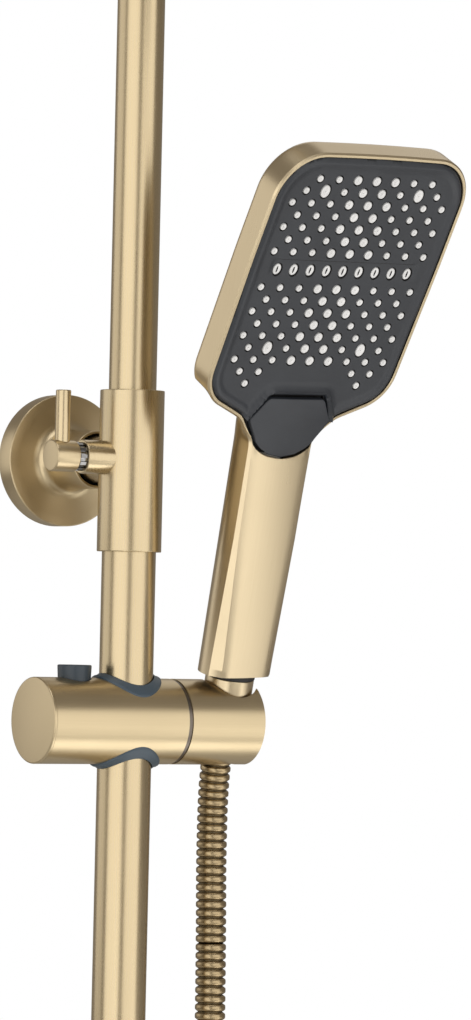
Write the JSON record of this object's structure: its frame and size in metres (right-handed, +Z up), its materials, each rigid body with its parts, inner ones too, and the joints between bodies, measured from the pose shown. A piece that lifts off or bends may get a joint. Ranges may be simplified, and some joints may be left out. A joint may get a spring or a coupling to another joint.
{
  "type": "shower column",
  "caption": "Wall-mounted rainfall shower column with a diverter, slide bar, swivelling holder, hand shower on a hose, and an overhead rain head.",
  "frame": {"origin": "centre of the water inlet on the wall plane, behind the diverter's wall flange", "axes": "+Z up along the column, +Y into the wall, +X to the right as seen from the room"},
  "size_m": [0.25, 0.589, 1.621],
  "materials": {
    "brushed_gold": "satin brushed",
    "hose_gold": "satin",
    "plated_plastic": "satin metallic plating",
    "black_rubber": "matte",
    "white_plastic": "moulded",
    "chrome_nut": "polished",
    "steel": "satin",
    "slate_plastic": "satin",
    "charcoal_plastic": "fine matte",
    "nozzle_silicone": "satin"
  },
  "bodies": {
    "root": {"inlet_nipple": "brushed_gold", "upper_flange": "brushed_gold", "upper_gasket": "black_rubber", "diverter_body": "brushed_gold", "diverter_cartridge": "white_plastic", "cartridge_nut": "chrome_nut", "seal_rings": "black_rubber", "upper_tube": "brushed_gold", "lower_tube": "brushed_gold", "lower_body": "brushed_gold", "lower_flange": "brushed_gold", "lower_gasket": "black_rubber", "lower_wall_plate": "steel", "lower_grub_screw": "steel", "outlet_nipple": "brushed_gold", "lower_hose_washer": "black_rubber", "hose_lower_nut": "brushed_gold", "hose_lower_tail": "brushed_gold", "hose": "hose_gold", "ball_stem": "brushed_gold"},
    "diverter_handle": {"diverter_stem": "steel", "diverter_knob": "brushed_gold", "diverter_lever": "brushed_gold", "knob_grub_screw": "steel"},
    "carriage": {"slider_bush": "slate_plastic"},
    "slider": {"slider_barrel": "brushed_gold", "barrel_end_cap": "brushed_gold", "collar_top": "slate_plastic", "collar_bottom": "slate_plastic", "brake_pin": "steel", "button_spring": "steel", "friction_ring": "steel", "pivot_bolt": "steel", "pivot_nut": "steel"},
    "button": {"release_button": "slate_plastic"},
    "socket": {"knuckle": "brushed_gold", "spring_washer": "steel"},
    "hose_end": {"hose_upper_tail": "brushed_gold"},
    "handset": {"hose_cone_nut": "brushed_gold", "upper_hose_washer": "black_rubber", "handset_housing": "plated_plastic", "spray_face": "charcoal_plastic", "paddle_spring": "steel", "nozzles_small": "nozzle_silicone", "nozzles_large": "nozzle_silicone", "nozzles_oval": "nozzle_silicone", "nozzles_slot": "nozzle_silicone", "channel_plate": "white_plastic", "handle_waterway": "white_plastic", "handset_spigot": "steel", "handle_ring": "black_rubber"},
    "selector": {"paddle": "charcoal_plastic"},
    "rain_joint": {"ball_seat": "white_plastic"},
    "rain_head": {"ball_nut": "brushed_gold", "rain_shell": "brushed_gold", "rain_face": "charcoal_plastic", "rain_nozzles": "nozzle_silicone", "flow_regulator": "white_plastic"}
  },
  "joints": [
    {"name": "diverter_turn", "type": "hinge", "parent": "root", "child": "diverter_handle", "pos_m": [-0.037, -0.068, 0], "axis": [1, 0, 0], "range_deg": [0, 90]},
    {"name": "slider_slide", "type": "slide", "parent": "root", "child": "carriage", "axis": [0, 0, 1], "range_m": [-0.58, 0.045], "deforming": ["hose"]},
    {"name": "slider_swivel", "type": "hinge", "parent": "carriage", "child": "slider", "pos_m": [0, -0.068, -0.121], "axis": [0, 0, 1], "range_deg": [-60, 30]},
    {"name": "button_press", "type": "slide", "parent": "slider", "child": "button", "axis": [0, 0, -1], "range_m": [0, 0.003], "stiffness_N_per_m": 600, "springref_m": -0.002, "deforming": ["button_spring"]},
    {"name": "holder_tilt", "type": "hinge", "parent": "slider", "child": "socket", "pos_m": [0.03, -0.068, -0.121], "axis": [1, 0, 0], "range_deg": [-4, 40]},
    {"name": "handset_lift", "type": "slide", "parent": "socket", "child": "hose_end", "axis": [0, -0.2419, 0.9703], "range_m": [0, 0.06]},
    {"name": "handset_turn", "type": "hinge", "parent": "hose_end", "child": "handset", "pos_m": [0.0534, -0.068, -0.121], "axis": [0, -0.2419, 0.9703], "range_deg": [-10, 60]},
    {"name": "selector_press", "type": "hinge", "parent": "handset", "child": "selector", "pos_m": [0.05482, -0.11037, 0.00434], "axis": [0.9914, 0.1266, 0.0316], "range_deg": [-4, 0], "stiffness_Nm_per_rad": 0.5, "springref_deg": 1.72},
    {"name": "rain_head_tilt", "type": "hinge", "parent": "root", "child": "rain_joint", "pos_m": [0, -0.448, 0.306], "axis": [1, 0, 0], "range_deg": [-12, 12]},
    {"name": "rain_head_spin", "type": "hinge", "parent": "rain_joint", "child": "rain_head", "pos_m": [0, -0.448, 0.306], "axis": [0, 0, 1], "continuous": true}
  ]
}
